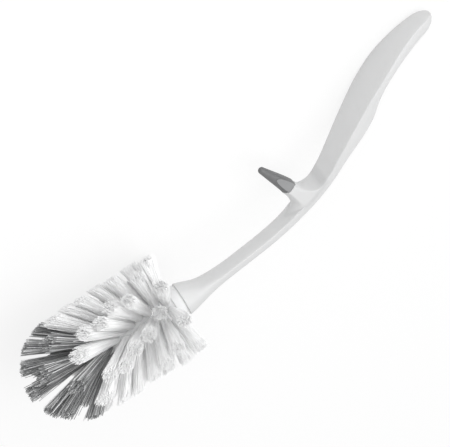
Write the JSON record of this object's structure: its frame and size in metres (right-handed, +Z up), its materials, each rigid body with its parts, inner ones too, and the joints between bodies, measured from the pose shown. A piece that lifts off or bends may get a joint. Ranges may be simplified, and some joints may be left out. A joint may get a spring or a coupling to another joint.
{
  "type": "bottle brush",
  "caption": "Bottle brush with a curved one-piece white handle, a grey-capped hook spur on its front, and a round head of white and grey straight tufts.",
  "frame": {"origin": "bottom centre of the bounding box of the brush, lying on its side", "axes": "+X along the head's axis towards the grip, +Y towards the spur's side, +Z up from the surface it lies on"},
  "size_m": [0.2894, 0.112, 0.07],
  "materials": {
    "white_plastic": "satin moulded",
    "white_core_plastic": "satin moulded",
    "grey_soft_cap": "matte soft",
    "white_bristle": "drawn filament",
    "grey_bristle": "drawn filament"
  },
  "bodies": {
    "root": {"handle": "white_plastic", "spur_cap": "grey_soft_cap", "brush_core": "white_core_plastic", "white_tufts_1": "white_bristle", "white_tufts_2": "white_bristle", "white_tufts_3": "white_bristle", "white_tufts_4": "white_bristle", "white_tufts_5": "white_bristle", "white_tufts_6": "white_bristle", "white_tufts_7": "white_bristle", "grey_tufts_1": "grey_bristle", "grey_tufts_2": "grey_bristle", "grey_nose_tufts": "grey_bristle"}
  },
  "joints": []
}
